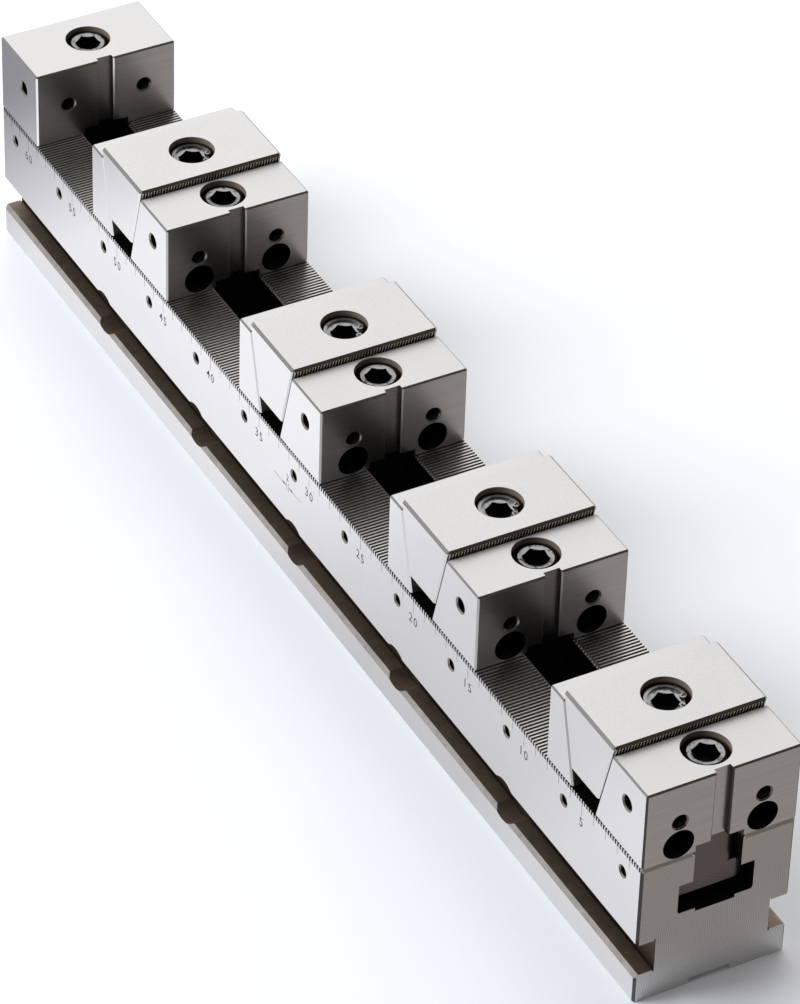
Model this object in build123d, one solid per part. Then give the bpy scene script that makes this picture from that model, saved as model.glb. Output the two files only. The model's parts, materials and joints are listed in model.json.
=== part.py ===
from build123d import *
import math
import os

# Multiple clamping vise: one serrated rail, a fixed end jaw and four wedge clamping units.
# Millimetres. X runs along the rail, with +X at the end where its scale starts, and the scale is
# on the -Y side. Z is up, and the origin is the middle of the rail's underside.

# Rail
rail_length = 630.0
rail_width = 75.0
rail_height = 75.0
rail_corner_chamfer = 1.2
rail_edge_chamfer = 0.6
flange_height = 15.4
flange_edge_chamfer = 1.8
side_notch_height = 17.0
side_notch_depth = 9.4
notch_relief = 0.8
keyway_width = 20.0
keyway_depth = 3.0

# Tee slot along the rail
neck_width = 23.5
neck_depth = 16.0
neck_edge_chamfer = 1.3
tee_width = 37.0
tee_height = 15.8
tee_corner_chamfer = 1.0
chip_groove_width = 19.5
chip_groove_depth = 1.8

# Serrations across the rail's two lands
tooth_pitch = 2.0
tooth_gap_width = 1.2
tooth_gap_depth = 1.5
tooth_flank_clearance = 0.06
tooth_inner_margin = 0.3
tooth_side_margin = 1.5

# Tapped holes along the scale side of the rail
rail_hole_pitch = 50.0
rail_hole_end_distance = 15.0
rail_hole_drop = 12.0
rail_hole_radius = 2.5
rail_hole_mouth_radius = 3.2
rail_hole_depth = 15.0

# Round pockets that break into both side notches
pocket_radius = 11.3
pocket_pitch = 100.0
pocket_count = 5

# Blocks that stand on the rail
block_height = 41.0
block_edge_chamfer = 0.8
face_groove_width = 8.0
face_groove_depth = 2.8
face_groove_chamfer = 0.6
nut_channel_depth = 4.0
face_hole_spacing = 40.8
face_hole_radius = 3.4
face_hole_mouth_radius = 4.1
face_hole_depth = 14.0
side_hole_setback = 15.0
side_hole_drop = 15.0
side_hole_radius = 3.4
side_hole_mouth_radius = 4.1
side_hole_depth = 14.0
counterbore_radius = 11.0
screw_recess = 2.0
screw_hole_radius = 6.6

# End jaw
end_jaw_length = 41.0

# Clamp blocks: distances of their front faces from the scale's zero end
unit_distances = (0.0, 144.0, 290.0, 446.0)
wedge_angle = 15.0
block_top_length = 28.8
block_screw_setback = 16.0

# Wedge between a clamp block and its movable jaw
wedge_foot_gap = 18.8
wedge_height = 36.5
wedge_edge_chamfer = 1.3
wedge_lift = 9.0
wedge_travel = 6.0
wedge_face_clearance = 0.05
wedge_screw_recess = 8.2
wedge_screw_hole_radius = 6.6

# Movable jaw
jaw_height = 40.4
jaw_top_length = 11.65
jaw_tongue_depth = 6.0
jaw_tongue_clearance = 0.15
jaw_tongue_front_margin = 3.4
jaw_tongue_back_margin = 1.0
jaw_face_hole_depth = 11.0

# Bolts and springs that pull the movable jaw against the wedge
pull_bolt_height = 8.3
pull_bore_radius = 7.5
pull_bore_depth = 30.0
pull_bolt_hole_radius = 4.4
pull_spring_length = 9.0
pull_spring_outer_radius = 6.4
pull_spring_inner_radius = 4.6
pull_slot_clearance = 0.8
bolt_end_gap = 1.0

# Tee nuts
nut_side_clearance = 0.3
nut_head_thickness = 10.7
nut_length = 22.0
nut_head_corner_radius = 6.7
nut_boss_corner_radius = 4.3
block_nut_rise = 1.5
wedge_nut_drop = 2.0
thread_clearance = 0.05

# Socket head screws, M12 for blocks and wedges and M8 for the pull bolts
clamp_screw_radius = 6.0
clamp_screw_length = 50.0
clamp_screw_head_radius = 9.0
clamp_screw_head_height = 12.0
clamp_screw_key_width = 10.0
clamp_screw_key_depth = 6.0
pull_bolt_radius = 4.0
pull_bolt_length = 50.0
pull_bolt_head_radius = 6.5
pull_bolt_head_height = 8.0

# Values worked out from the sizes above
rail_end = rail_length / 2
rail_side = rail_width / 2
wedge_slope = math.tan(math.radians(wedge_angle))
shoulder_z = rail_height - neck_depth
tee_floor_z = shoulder_z - tee_height
block_top_z = rail_height + block_height
block_foot_length = block_top_length + block_height * wedge_slope
jaw_foot_setback = block_foot_length + wedge_foot_gap
jaw_top_setback = jaw_foot_setback + jaw_height * wedge_slope
jaw_back_setback = jaw_top_setback + jaw_top_length
wedge_screw_setback = block_foot_length + wedge_foot_gap / 2
wedge_foot_z = rail_height + wedge_lift
wedge_top_z = wedge_foot_z + wedge_height
wedge_head_top_z = wedge_top_z - wedge_screw_recess
wedge_seat_z = wedge_head_top_z - clamp_screw_head_height
block_seat_z = block_top_z - screw_recess - clamp_screw_head_height
pull_bolt_z = rail_height + pull_bolt_height
face_hole_z = rail_height + block_height / 2
side_hole_z = block_top_z - side_hole_drop
pull_head_setback = pull_bore_depth - pull_spring_length
pull_bolt_tip_setback = pull_head_setback + pull_bolt_length
tooth_half_angle = math.atan2(tooth_gap_width / 2, tooth_gap_depth)


def prism(points, low_y, high_y):
    """Solid of an outline in X and Z, from low_y to high_y."""
    middle = (low_y + high_y) / 2
    outline = Polyline([(x, middle, z) for x, z in points], close=True)
    return extrude(make_face(outline), amount=(high_y - low_y) / 2, both=True)


def turned(points):
    """Solid of revolution about Z of an outline given as radius and height."""
    outline = Polyline([(radius, 0, z) for radius, z in points], close=True)
    return revolve(make_face(outline), axis=Axis.Z)


def tapped_hole(radius, depth, mouth_radius, over=1.0):
    """Blind hole going down from the origin, with a mouth chamfered at 45 degrees."""
    return turned([
        (0, over),
        (mouth_radius + over, over),
        (radius, radius - mouth_radius),
        (radius, -depth),
        (0, -depth),
    ])


def facing(x, y, z, direction):
    """Place whose Z axis points along direction."""
    return Plane(origin=(x, y, z), z_dir=direction).location


def cap_screw(radius, length, head_radius, head_height):
    """Cap screw with the seat under its head at the origin and its shank going down."""
    return turned([
        (0, head_height),
        (head_radius, head_height),
        (head_radius, 0),
        (radius, 0),
        (radius, -length),
        (0, -length),
    ])


def gap_centres(first, low_x, high_x):
    """Middles of the tooth gaps from low_x to high_x, one pitch apart, with one of them at first."""
    start = math.ceil((low_x - first) / tooth_pitch - 1e-6)
    stop = math.floor((high_x - first) / tooth_pitch + 1e-6)
    return [first + step * tooth_pitch for step in range(stop, start - 1, -1)]


def rail_section():
    """Cross-section of the rail, drawn for +Y and mirrored."""
    notch_side = rail_side - side_notch_depth
    notch_top = flange_height + side_notch_height
    relief_side = notch_side + notch_relief
    half = [
        (0, keyway_depth),
        (keyway_width / 2, keyway_depth),
        (keyway_width / 2, rail_edge_chamfer),
        (keyway_width / 2 + rail_edge_chamfer, 0),
        (rail_side - rail_edge_chamfer, 0),
        (rail_side, rail_edge_chamfer),
        (rail_side, flange_height - flange_edge_chamfer),
        (rail_side - flange_edge_chamfer, flange_height),
        (relief_side, flange_height),
        (relief_side, flange_height - notch_relief),
        (notch_side, flange_height - notch_relief),
        (notch_side, notch_top + notch_relief),
        (relief_side, notch_top + notch_relief),
        (relief_side, notch_top),
        (rail_side - rail_edge_chamfer, notch_top),
        (rail_side, notch_top + rail_edge_chamfer),
        (rail_side, rail_height),
        (neck_width / 2 + neck_edge_chamfer, rail_height),
        (neck_width / 2, rail_height - neck_edge_chamfer),
        (neck_width / 2, shoulder_z),
        (tee_width / 2, shoulder_z),
        (tee_width / 2, tee_floor_z + tee_corner_chamfer),
        (tee_width / 2 - tee_corner_chamfer, tee_floor_z),
        (chip_groove_width / 2, tee_floor_z),
        (chip_groove_width / 2, tee_floor_z - chip_groove_depth),
        (0, tee_floor_z - chip_groove_depth),
    ]
    whole = half[1:-1] + [(-y, z) for y, z in reversed(half[1:-1])]
    return make_face(Polyline([(0, y, z) for y, z in whole], close=True))


def tooth_gap_cutter():
    """Comb that cuts every tooth gap of the rail at once."""
    rise = tooth_gap_depth / 4
    spread = rise * math.tan(tooth_half_angle)
    bar_top = rail_height + 1 + rise
    points = [(rail_end + tooth_pitch, bar_top)]
    for x in gap_centres(rail_end, -rail_end, rail_end):
        points.append((x + tooth_gap_width / 2 + spread, rail_height + rise))
        points.append((x, rail_height - tooth_gap_depth))
        points.append((x - tooth_gap_width / 2 - spread, rail_height + rise))
    points.append((-rail_end - tooth_pitch, bar_top))
    return prism(points, -rail_side - 1, rail_side + 1)


def make_base_rail():
    rail = extrude(rail_section(), amount=rail_end, both=True)
    corners = [
        edge for edge in rail.edges().filter_by(Axis.Z)
        if abs(abs(edge.center().Y) - rail_side) < 0.01
    ]
    rail = chamfer(corners, rail_corner_chamfer)
    hole = tapped_hole(rail_hole_radius, rail_hole_depth, rail_hole_mouth_radius)
    hole_count = int((rail_length - 2 * rail_hole_end_distance) / rail_hole_pitch) + 1
    cutters = []
    for index in range(hole_count):
        x = rail_end - rail_hole_end_distance - index * rail_hole_pitch
        cutters.append(facing(x, -rail_side, rail_height - rail_hole_drop, (0, -1, 0)) * hole)
    pocket_z = flange_height + side_notch_height / 2
    pocket = Cylinder(pocket_radius, side_notch_depth, align=(Align.CENTER, Align.CENTER, Align.MAX))
    for index in range(pocket_count):
        x = (index - (pocket_count - 1) / 2) * pocket_pitch
        for side in (-1, 1):
            cutters.append(facing(x, side * rail_side, pocket_z, (0, side, 0)) * pocket)
    return rail - cutters - tooth_gap_cutter()


def block_teeth(foot_length, first_gap, low_y, high_y):
    """Teeth under a block, which drop into the rail's tooth gaps. The block's front is at X 0."""
    root_half = tooth_gap_width / 2 - tooth_flank_clearance
    tip_depth = root_half / math.tan(tooth_half_angle)
    bar_top = rail_height + block_edge_chamfer
    end_margin = block_edge_chamfer + tooth_gap_width
    low_x = end_margin - foot_length
    high_x = -end_margin
    points = [(high_x, bar_top), (high_x, rail_height)]
    for x in gap_centres(first_gap, low_x + root_half, high_x - root_half):
        points.append((x + root_half, rail_height))
        points.append((x, rail_height - tip_depth))
        points.append((x - root_half, rail_height))
    points += [(low_x, rail_height), (low_x, bar_top)]
    return prism(points, low_y, high_y)


def standing_block(top_length, foot_length, screw_setback, first_gap, with_pull_bores):
    """Block with its front at X 0: serrated feet, face groove, tapped holes and a counterbore."""
    block = prism(
        [
            (0, rail_height),
            (0, block_top_z),
            (-top_length, block_top_z),
            (-foot_length, rail_height),
        ],
        -rail_side,
        rail_side,
    )
    block = chamfer(block.edges(), block_edge_chamfer)

    groove_half = face_groove_width / 2
    mouth_half = groove_half + face_groove_chamfer
    groove_outline = Polyline(
        [
            (-face_groove_depth, groove_half),
            (-face_groove_chamfer, groove_half),
            (0, mouth_half),
            (1, mouth_half + 1),
            (1, -mouth_half - 1),
            (0, -mouth_half),
            (-face_groove_chamfer, -groove_half),
            (-face_groove_depth, -groove_half),
        ],
        close=True,
    )
    groove = extrude(make_face(groove_outline), amount=block_height + 2)
    cutters = [Pos(0, 0, rail_height - 1) * groove]
    channel = Box(foot_length + 2, neck_width, 2 * nut_channel_depth)
    cutters.append(Pos(-foot_length / 2, 0, rail_height) * channel)
    head_room = Cylinder(
        counterbore_radius,
        block_top_z - block_seat_z,
        align=(Align.CENTER, Align.CENTER, Align.MIN),
    )
    cutters.append(Pos(-screw_setback, 0, block_seat_z) * head_room)
    cutters.append(Pos(-screw_setback, 0, block_seat_z) * Cylinder(screw_hole_radius, 2 * block_height))

    face_hole = tapped_hole(face_hole_radius, face_hole_depth, face_hole_mouth_radius)
    bore = Cylinder(pull_bore_radius, pull_bore_depth, align=(Align.CENTER, Align.CENTER, Align.MAX))
    bore += Cylinder(
        pull_bolt_hole_radius,
        2 * pull_bore_depth,
        align=(Align.CENTER, Align.CENTER, Align.MAX),
    )
    for side in (-1, 1):
        y = side * face_hole_spacing / 2
        cutters.append(facing(0, y, face_hole_z, (1, 0, 0)) * face_hole)
        if with_pull_bores:
            cutters.append(facing(0, y, pull_bolt_z, (1, 0, 0)) * bore)
    side_hole = tapped_hole(side_hole_radius, side_hole_depth, side_hole_mouth_radius)
    cutters.append(facing(-side_hole_setback, -rail_side, side_hole_z, (0, -1, 0)) * side_hole)
    block -= cutters

    tooth_inside = neck_width / 2 + neck_edge_chamfer + tooth_inner_margin
    tooth_outside = rail_side - block_edge_chamfer - tooth_side_margin
    block += block_teeth(foot_length, first_gap, tooth_inside, tooth_outside)
    block += block_teeth(foot_length, first_gap, -tooth_outside, -tooth_inside)
    return block


def make_wedge():
    """Wedge with sloping sides, the screw's counterbore and slots for the pull bolts."""
    slack = wedge_face_clearance / math.cos(math.radians(wedge_angle))
    foot_front = wedge_lift * wedge_slope - block_foot_length - slack
    foot_back = slack - jaw_foot_setback - wedge_lift * wedge_slope
    spread = wedge_height * wedge_slope
    wedge = prism(
        [
            (foot_front, wedge_foot_z),
            (foot_front + spread, wedge_top_z),
            (foot_back - spread, wedge_top_z),
            (foot_back, wedge_foot_z),
        ],
        -rail_side,
        rail_side,
    )
    wedge = chamfer(wedge.edges(), wedge_edge_chamfer)
    head_room = Cylinder(
        counterbore_radius,
        wedge_top_z - wedge_seat_z,
        align=(Align.CENTER, Align.CENTER, Align.MIN),
    )
    cutters = [
        Pos(-wedge_screw_setback, 0, wedge_seat_z) * head_room,
        Pos(-wedge_screw_setback, 0, wedge_seat_z) * Cylinder(wedge_screw_hole_radius, 2 * wedge_height),
    ]
    slot_radius = pull_bolt_radius + pull_slot_clearance
    slot_drop = pull_bolt_z + wedge_travel - wedge_foot_z
    slot = Pos(0, slot_drop, 0) * Circle(slot_radius)
    slot += Pos(0, slot_drop / 2 - slot_radius / 2, 0) * Rectangle(2 * slot_radius, slot_drop + slot_radius)
    tunnel = extrude(slot, amount=jaw_back_setback)
    for side in (-1, 1):
        place = Plane(
            origin=(-jaw_back_setback, side * face_hole_spacing / 2, wedge_foot_z),
            x_dir=(0, 1, 0),
            z_dir=(1, 0, 0),
        )
        cutters.append(place.location * tunnel)
    return wedge - cutters


def make_movable_jaw():
    """Jaw that slides on the teeth, with a tongue in the slot's neck and tapped holes."""
    jaw = prism(
        [
            (-jaw_foot_setback, rail_height),
            (-jaw_top_setback, rail_height + jaw_height),
            (-jaw_back_setback, rail_height + jaw_height),
            (-jaw_back_setback, rail_height),
        ],
        -rail_side,
        rail_side,
    )
    jaw = chamfer(jaw.edges(), block_edge_chamfer)
    tongue_front = -jaw_foot_setback - jaw_tongue_front_margin
    tongue_back = jaw_tongue_back_margin - jaw_back_setback
    tongue_half = neck_width / 2 - jaw_tongue_clearance
    jaw += prism(
        [
            (tongue_front, rail_height + block_edge_chamfer),
            (tongue_back, rail_height + block_edge_chamfer),
            (tongue_back, rail_height - jaw_tongue_depth),
            (tongue_front, rail_height - jaw_tongue_depth),
        ],
        -tongue_half,
        tongue_half,
    )
    face_hole = tapped_hole(face_hole_radius, jaw_face_hole_depth, face_hole_mouth_radius)
    hole_end = -pull_bolt_tip_setback - bolt_end_gap
    bolt_face = -jaw_foot_setback - pull_bolt_height * wedge_slope
    bolt_hole = Cylinder(
        pull_bolt_radius + thread_clearance,
        bolt_face - hole_end + pull_bolt_radius,
        align=(Align.CENTER, Align.CENTER, Align.MIN),
    )
    cutters = []
    for side in (-1, 1):
        y = side * face_hole_spacing / 2
        cutters.append(facing(-jaw_back_setback, y, face_hole_z, (-1, 0, 0)) * face_hole)
        cutters.append(facing(hole_end, y, pull_bolt_z, (1, 0, 0)) * bolt_hole)
    return jaw - cutters


def tee_nut(plan_head, plan_boss, boss_top_z):
    """Tee nut pulled up under the slot's shoulders, with a threaded hole through it."""
    head = extrude(plan_head, amount=nut_head_thickness)
    boss = extrude(plan_boss, amount=boss_top_z - shoulder_z)
    nut = Pos(0, 0, shoulder_z - nut_head_thickness) * head + Pos(0, 0, shoulder_z) * boss
    thread = Cylinder(clamp_screw_radius + thread_clearance, 4 * nut_head_thickness)
    return nut - Pos(0, 0, shoulder_z) * thread


def quarter_turn_plan(width, corner_radius):
    """Outline with two opposite corners rounded, so that the nut turns in the slot."""
    plan = Rectangle(nut_length, width)
    corners = [vertex for vertex in plan.vertices() if vertex.X * vertex.Y > 0]
    return fillet(corners, corner_radius)


def make_quarter_turn_nut():
    head = quarter_turn_plan(tee_width - 2 * nut_side_clearance, nut_head_corner_radius)
    boss = quarter_turn_plan(neck_width - 2 * nut_side_clearance, nut_boss_corner_radius)
    return tee_nut(head, boss, rail_height + block_nut_rise)


def make_sliding_nut():
    head = Rectangle(nut_length, tee_width - 2 * nut_side_clearance)
    boss = Rectangle(nut_length, neck_width - 2 * nut_side_clearance)
    return tee_nut(head, boss, rail_height - wedge_nut_drop)


def make_clamp_screw():
    """Socket head screw of a block or wedge."""
    screw = cap_screw(
        clamp_screw_radius,
        clamp_screw_length,
        clamp_screw_head_radius,
        clamp_screw_head_height,
    )
    hexagon = RegularPolygon(radius=clamp_screw_key_width / 2, side_count=6, major_radius=False)
    socket = extrude(hexagon, amount=clamp_screw_key_depth)
    return screw - Pos(0, 0, clamp_screw_head_height - clamp_screw_key_depth) * socket


def pair_on_pull_axes(piece):
    """Two copies of a piece that points up, turned to face +X on the pull bolts' two axes."""
    return [
        facing(-pull_head_setback, side * face_hole_spacing / 2, pull_bolt_z, (1, 0, 0)) * piece
        for side in (-1, 1)
    ]


def make_pull_bolts():
    """Two bolts that run from the clamp block, under the wedge, into the movable jaw."""
    bolt = cap_screw(pull_bolt_radius, pull_bolt_length, pull_bolt_head_radius, pull_bolt_head_height)
    return Compound(pair_on_pull_axes(bolt))


def make_pull_springs():
    """Two springs under the pull bolts' heads, each as the sleeve that its coils fill."""
    sleeve = Cylinder(
        pull_spring_outer_radius,
        pull_spring_length,
        align=(Align.CENTER, Align.CENTER, Align.MAX),
    )
    sleeve -= Cylinder(pull_spring_inner_radius, 3 * pull_spring_length)
    return Compound(pair_on_pull_axes(sleeve))


# Build each different piece once
clamp_block = standing_block(
    block_top_length, block_foot_length, block_screw_setback, first_gap=0, with_pull_bores=True
)
end_jaw = standing_block(
    end_jaw_length,
    end_jaw_length,
    end_jaw_length / 2,
    first_gap=-(end_jaw_length % tooth_pitch),
    with_pull_bores=False,
)
wedge = make_wedge()
movable_jaw = make_movable_jaw()
pull_bolts = make_pull_bolts()
pull_springs = make_pull_springs()
clamp_screw = make_clamp_screw()
quarter_turn_nut = make_quarter_turn_nut()
sliding_nut = make_sliding_nut()

# Place them along the rail
pieces = {"base_rail": make_base_rail()}
end_jaw_front = end_jaw_length - rail_end
pieces["end_jaw"] = Pos(end_jaw_front, 0, 0) * end_jaw
block_screw_places = [end_jaw_front - end_jaw_length / 2]
for number, distance in enumerate(unit_distances, start=1):
    front = rail_end - round(distance / tooth_pitch) * tooth_pitch
    wedge_screw_x = front - wedge_screw_setback
    block_screw_places.append(front - block_screw_setback)
    pieces[f"clamp_block_{number}"] = Pos(front, 0, 0) * clamp_block
    pieces[f"wedge_{number}"] = Pos(front, 0, 0) * wedge
    pieces[f"wedge_screw_{number}"] = Pos(wedge_screw_x, 0, wedge_seat_z) * clamp_screw
    pieces[f"wedge_nut_{number}"] = Pos(wedge_screw_x, 0, 0) * sliding_nut
    pieces[f"movable_jaw_{number}"] = Pos(front, 0, 0) * movable_jaw
    pieces[f"pull_bolts_{number}"] = Pos(front, 0, 0) * pull_bolts
    pieces[f"pull_springs_{number}"] = Pos(front, 0, 0) * pull_springs
pieces["block_screws"] = Compound([Pos(x, 0, block_seat_z) * clamp_screw for x in block_screw_places])
pieces["block_nuts"] = Compound([Pos(x, 0, 0) * quarter_turn_nut for x in block_screw_places])

# Write one file per piece
os.makedirs("parts", exist_ok=True)
for name, shape in pieces.items():
    export_step(shape, f"parts/{name}.step")
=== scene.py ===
import json
import math

import bmesh
import bpy
from mathutils import Matrix, Vector


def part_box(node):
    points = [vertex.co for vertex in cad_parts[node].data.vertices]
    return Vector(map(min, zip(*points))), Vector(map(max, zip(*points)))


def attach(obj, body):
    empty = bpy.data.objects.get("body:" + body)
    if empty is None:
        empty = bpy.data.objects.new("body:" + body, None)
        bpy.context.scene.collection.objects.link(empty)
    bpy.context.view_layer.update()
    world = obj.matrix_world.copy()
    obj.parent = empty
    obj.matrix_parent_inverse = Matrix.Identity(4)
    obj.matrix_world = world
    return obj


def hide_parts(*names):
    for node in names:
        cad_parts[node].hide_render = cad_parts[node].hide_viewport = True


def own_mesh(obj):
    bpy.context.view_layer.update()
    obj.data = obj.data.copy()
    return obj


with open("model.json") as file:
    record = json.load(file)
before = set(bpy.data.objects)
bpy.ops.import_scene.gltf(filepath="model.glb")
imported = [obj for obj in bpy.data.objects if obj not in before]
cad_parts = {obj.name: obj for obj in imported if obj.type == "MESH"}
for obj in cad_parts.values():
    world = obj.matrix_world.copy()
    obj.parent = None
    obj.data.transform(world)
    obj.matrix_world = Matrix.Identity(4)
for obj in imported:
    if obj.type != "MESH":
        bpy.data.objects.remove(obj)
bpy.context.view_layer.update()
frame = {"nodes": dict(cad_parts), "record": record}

bl_info = {
    "name": "Multiple clamping vise",
    "version": (1, 0, 0),
    "blender": (4, 5, 0),
    "location": "3D View > Sidebar > Vise",
    "description": "Dresses the clamping rail and its wedge units in steel, and sets up the studio",
    "category": "Object",
}

MM = 0.001

# Places worked out from the frame
RAIL_LOW, RAIL_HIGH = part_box("base_rail")
END_JAW_LOW, END_JAW_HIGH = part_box("end_jaw")
UNITS = sorted(int(name.rsplit("_", 1)[1]) for name in frame["nodes"] if name.startswith("clamp_block_"))
FIRST = UNITS[0]
MOUNTS = frame["record"]["mounts"]
SIDE_HOLES = [mount for mount in MOUNTS if mount["name"].endswith("_side_hole")]
FACE_HOLES = next(mount for mount in MOUNTS if mount["name"] == f"clamp_block_{FIRST}_holes")
RAIL_HOLES = next(mount for mount in MOUNTS if mount["name"].startswith("rail_side_holes"))

# Sizes that the frame doesn't give
TOOTH_PITCH = 2.0 * MM
HOLE_MOUTH = 0.7 * MM
PULL_BORE_RADIUS = 7.55 * MM
COUNTERBORE_RADIUS = 11.06 * MM
CAP_HEAD_HEIGHT = 12 * MM
CAP_SHANK_RADIUS = 6 * MM
PULL_HEAD_HEIGHT = 8 * MM
PULL_SHANK_RADIUS = 4 * MM

# Depth under an end or side face that still counts as that face
SKIN = 0.03 * MM

# Part of a chamfer's normal that lies along each of its two axes
CHAMFER_LEAN = (0.5, 0.88)

# Colours of small places
# Painted shade inside tapped holes and pull bores
HOLE_SHADE = (0.012, 0.011, 0.010)
HOLE_RIM = (0.30, 0.27, 0.235)
# Painted shade low in the counterbores
BORE_SHADE = (0.035, 0.022, 0.018)
FLANGE_EDGE = (0.46, 0.435, 0.41)
# Painted shade in the tooth gaps
TOOTH_GAP = (0.18, 0.16, 0.14)
LAST_TOOTH_GAP = (0.55, 0.53, 0.47)
# Painted shade on the lands under the wedges
UNDER_WEDGE_SHADE = (0.035, 0.03, 0.026)
# Painted shade of the tooth gaps on the rail's sides
COMB_SHADE = (0.01, 0.009, 0.008)
# Painted shade in the wedges' rib grooves
RIB_GROOVE_SHADE = (0.008, 0.007, 0.006)
RIB = (0.84, 0.78, 0.64)
NUT_MARKS = ((0.18, 0.157, 0.15), (0.235, 0.21, 0.20))


# Properties


def length_value(name, text, default):
    return bpy.props.FloatProperty(name=name, description=text, default=default, unit="LENGTH")


def angle_value(name, text, degrees):
    default = math.radians(degrees)
    return bpy.props.FloatProperty(name=name, description=text, default=default, subtype="ANGLE")


def plain_value(name, text, default):
    return bpy.props.FloatProperty(name=name, description=text, default=default)


def count_value(name, text, default):
    return bpy.props.IntProperty(name=name, description=text, default=default)


def colour_value(name, text, *default):
    return bpy.props.FloatVectorProperty(name=name, description=text, default=default, subtype="COLOR")


class ScaleSizes(bpy.types.PropertyGroup):
    """The centimetre scale and the pitch symbol on the rail's side"""

    tick_spacing: length_value("Spacing", "Distance between two ticks", 10 * MM)
    tick_top: length_value("Tick top", "Distance of the ticks from the rail's top", 2.1 * MM)
    short_tick: length_value("Short tick", "Length of a short tick", 4.4 * MM)
    long_tick: length_value("Long tick", "Length of every fifth tick", 6.7 * MM)
    line_width: length_value("Line width", "Width of an engraved line", 0.22 * MM)
    digit_height: length_value("Digit height", "Height of the scale's numbers", 4.8 * MM)
    digit_drop: length_value("Digit drop", "Space between a long tick and its number", 1.1 * MM)
    symbol_place: length_value("Symbol place", "From the scale's zero to the pitch symbol", 321 * MM)
    symbol_drop: length_value("Symbol drop", "From the rail's top to the symbol's line", 22.5 * MM)
    symbol_length: length_value("Symbol length", "Length of the symbol's line", 27 * MM)
    ink: colour_value("Ink", "Colour in the engraved lines", 0.055, 0.055, 0.065)


class WedgeSizes(bpy.types.PropertyGroup):
    """The ribbed front face of each wedge"""

    rib_pitch: length_value("Rib pitch", "Distance between two grooves", 1.5 * MM)
    groove_width: length_value("Groove width", "Width of a groove", 1.04 * MM)
    groove_depth: length_value("Groove depth", "Depth of a groove", 0.6 * MM)
    groove_stop: length_value("Groove stop", "From the face's top edge to the grooves", 0.25 * MM)


class ScrewSizes(bpy.types.PropertyGroup):
    """Socket head screws, retaining rings, pull bolts and springs"""

    head_chamfer: length_value("Head chamfer", "Chamfer round the top of a head", 0.9 * MM)
    key_share: plain_value("Key share", "Socket's width as a share of the head's diameter", 0.62)
    key_turn: angle_value("Key turn", "Turn of the sockets about their axes", -31)
    head_rise: length_value("Head rise", "How far a wedge screw's head stands above its solid", 4.0 * MM)
    key_depth_share: plain_value("Key depth share", "Socket's depth as a share of the head's radius", 0.67)
    ring_thickness: length_value("Ring thickness", "Thickness of a retaining ring", 1.2 * MM)
    ring_width: length_value("Ring width", "Radial width of a retaining ring", 1.4 * MM)
    ring_radius: length_value("Ring radius", "Outer radius of a retaining ring", 9.4 * MM)
    ring_turn: angle_value("Ring turn", "Direction of a retaining ring's gap", 58)
    ring_gap: angle_value("Ring gap", "Angle left open in a retaining ring", 40)
    lug_radius: length_value("Lug radius", "Radius of a retaining ring's lug", 1.4 * MM)
    spring_turns: count_value("Spring turns", "Turns of a pull spring", 4)
    wire: length_value("Wire", "Diameter of a pull spring's wire", 1.3 * MM)


class ThreadSizes(bpy.types.PropertyGroup):
    """Thread turns that show in the tapped holes"""

    pitch: length_value("Pitch", "Pitch of the threads that show", 1.1 * MM)
    depth: length_value("Depth", "How far a thread stands out of its wall", 0.3 * MM)
    turns: count_value("Turns", "Thread turns that show in a hole", 6)


class SteelColours(bpy.types.PropertyGroup):
    """Colours of the finishes"""

    ground: colour_value("Ground steel", "Ground faces of rail, blocks and jaws", 0.80, 0.785, 0.78)
    milled: colour_value("Milled steel", "Milled faces of rail ends and nuts", 0.70, 0.68, 0.67)
    brown: colour_value("Raw steel", "Raw walls of notches, slots and bores", 0.105, 0.085, 0.068)
    edge: colour_value("Broken edges", "Chamfers of rail, blocks and jaws", 0.31, 0.30, 0.29)
    olive: colour_value("Olive edges", "Chamfers that face forward and up", 0.215, 0.185, 0.14)
    bore: colour_value("Bores", "Walls of counterbores", 0.30, 0.25, 0.20)
    black: colour_value("Black oxide", "Blackened screws", 0.030, 0.029, 0.028)
    bright: colour_value("Bright steel", "Worn tops of screws and retaining rings", 0.42, 0.42, 0.43)


class StudioSizes(bpy.types.PropertyGroup):
    """Camera, floor and lights"""

    lens: plain_value("Lens", "Focal length in millimetres", 192.9)
    distance: length_value("Distance", "From the target to the camera", 2.51)
    azimuth: angle_value("Azimuth", "Camera's direction from +X", -29.35)
    elevation: angle_value("Elevation", "Camera's height angle", 38.225)
    roll: angle_value("Roll", "Camera's turn about its own axis", 1.885)
    target: bpy.props.FloatVectorProperty(
        name="Target", description="Point that the camera looks at", subtype="TRANSLATION",
        default=(-0.00688, 0.02248, 0.02192),
    )
    sky: plain_value("Sky", "Strength of the studio's soft light", 1.0)
    key: plain_value("Key light", "Power of the key light in watts", 12.0)
    fill: plain_value("Fill light", "Power of the fill light in watts", 60.0)


# Shader helpers


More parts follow.
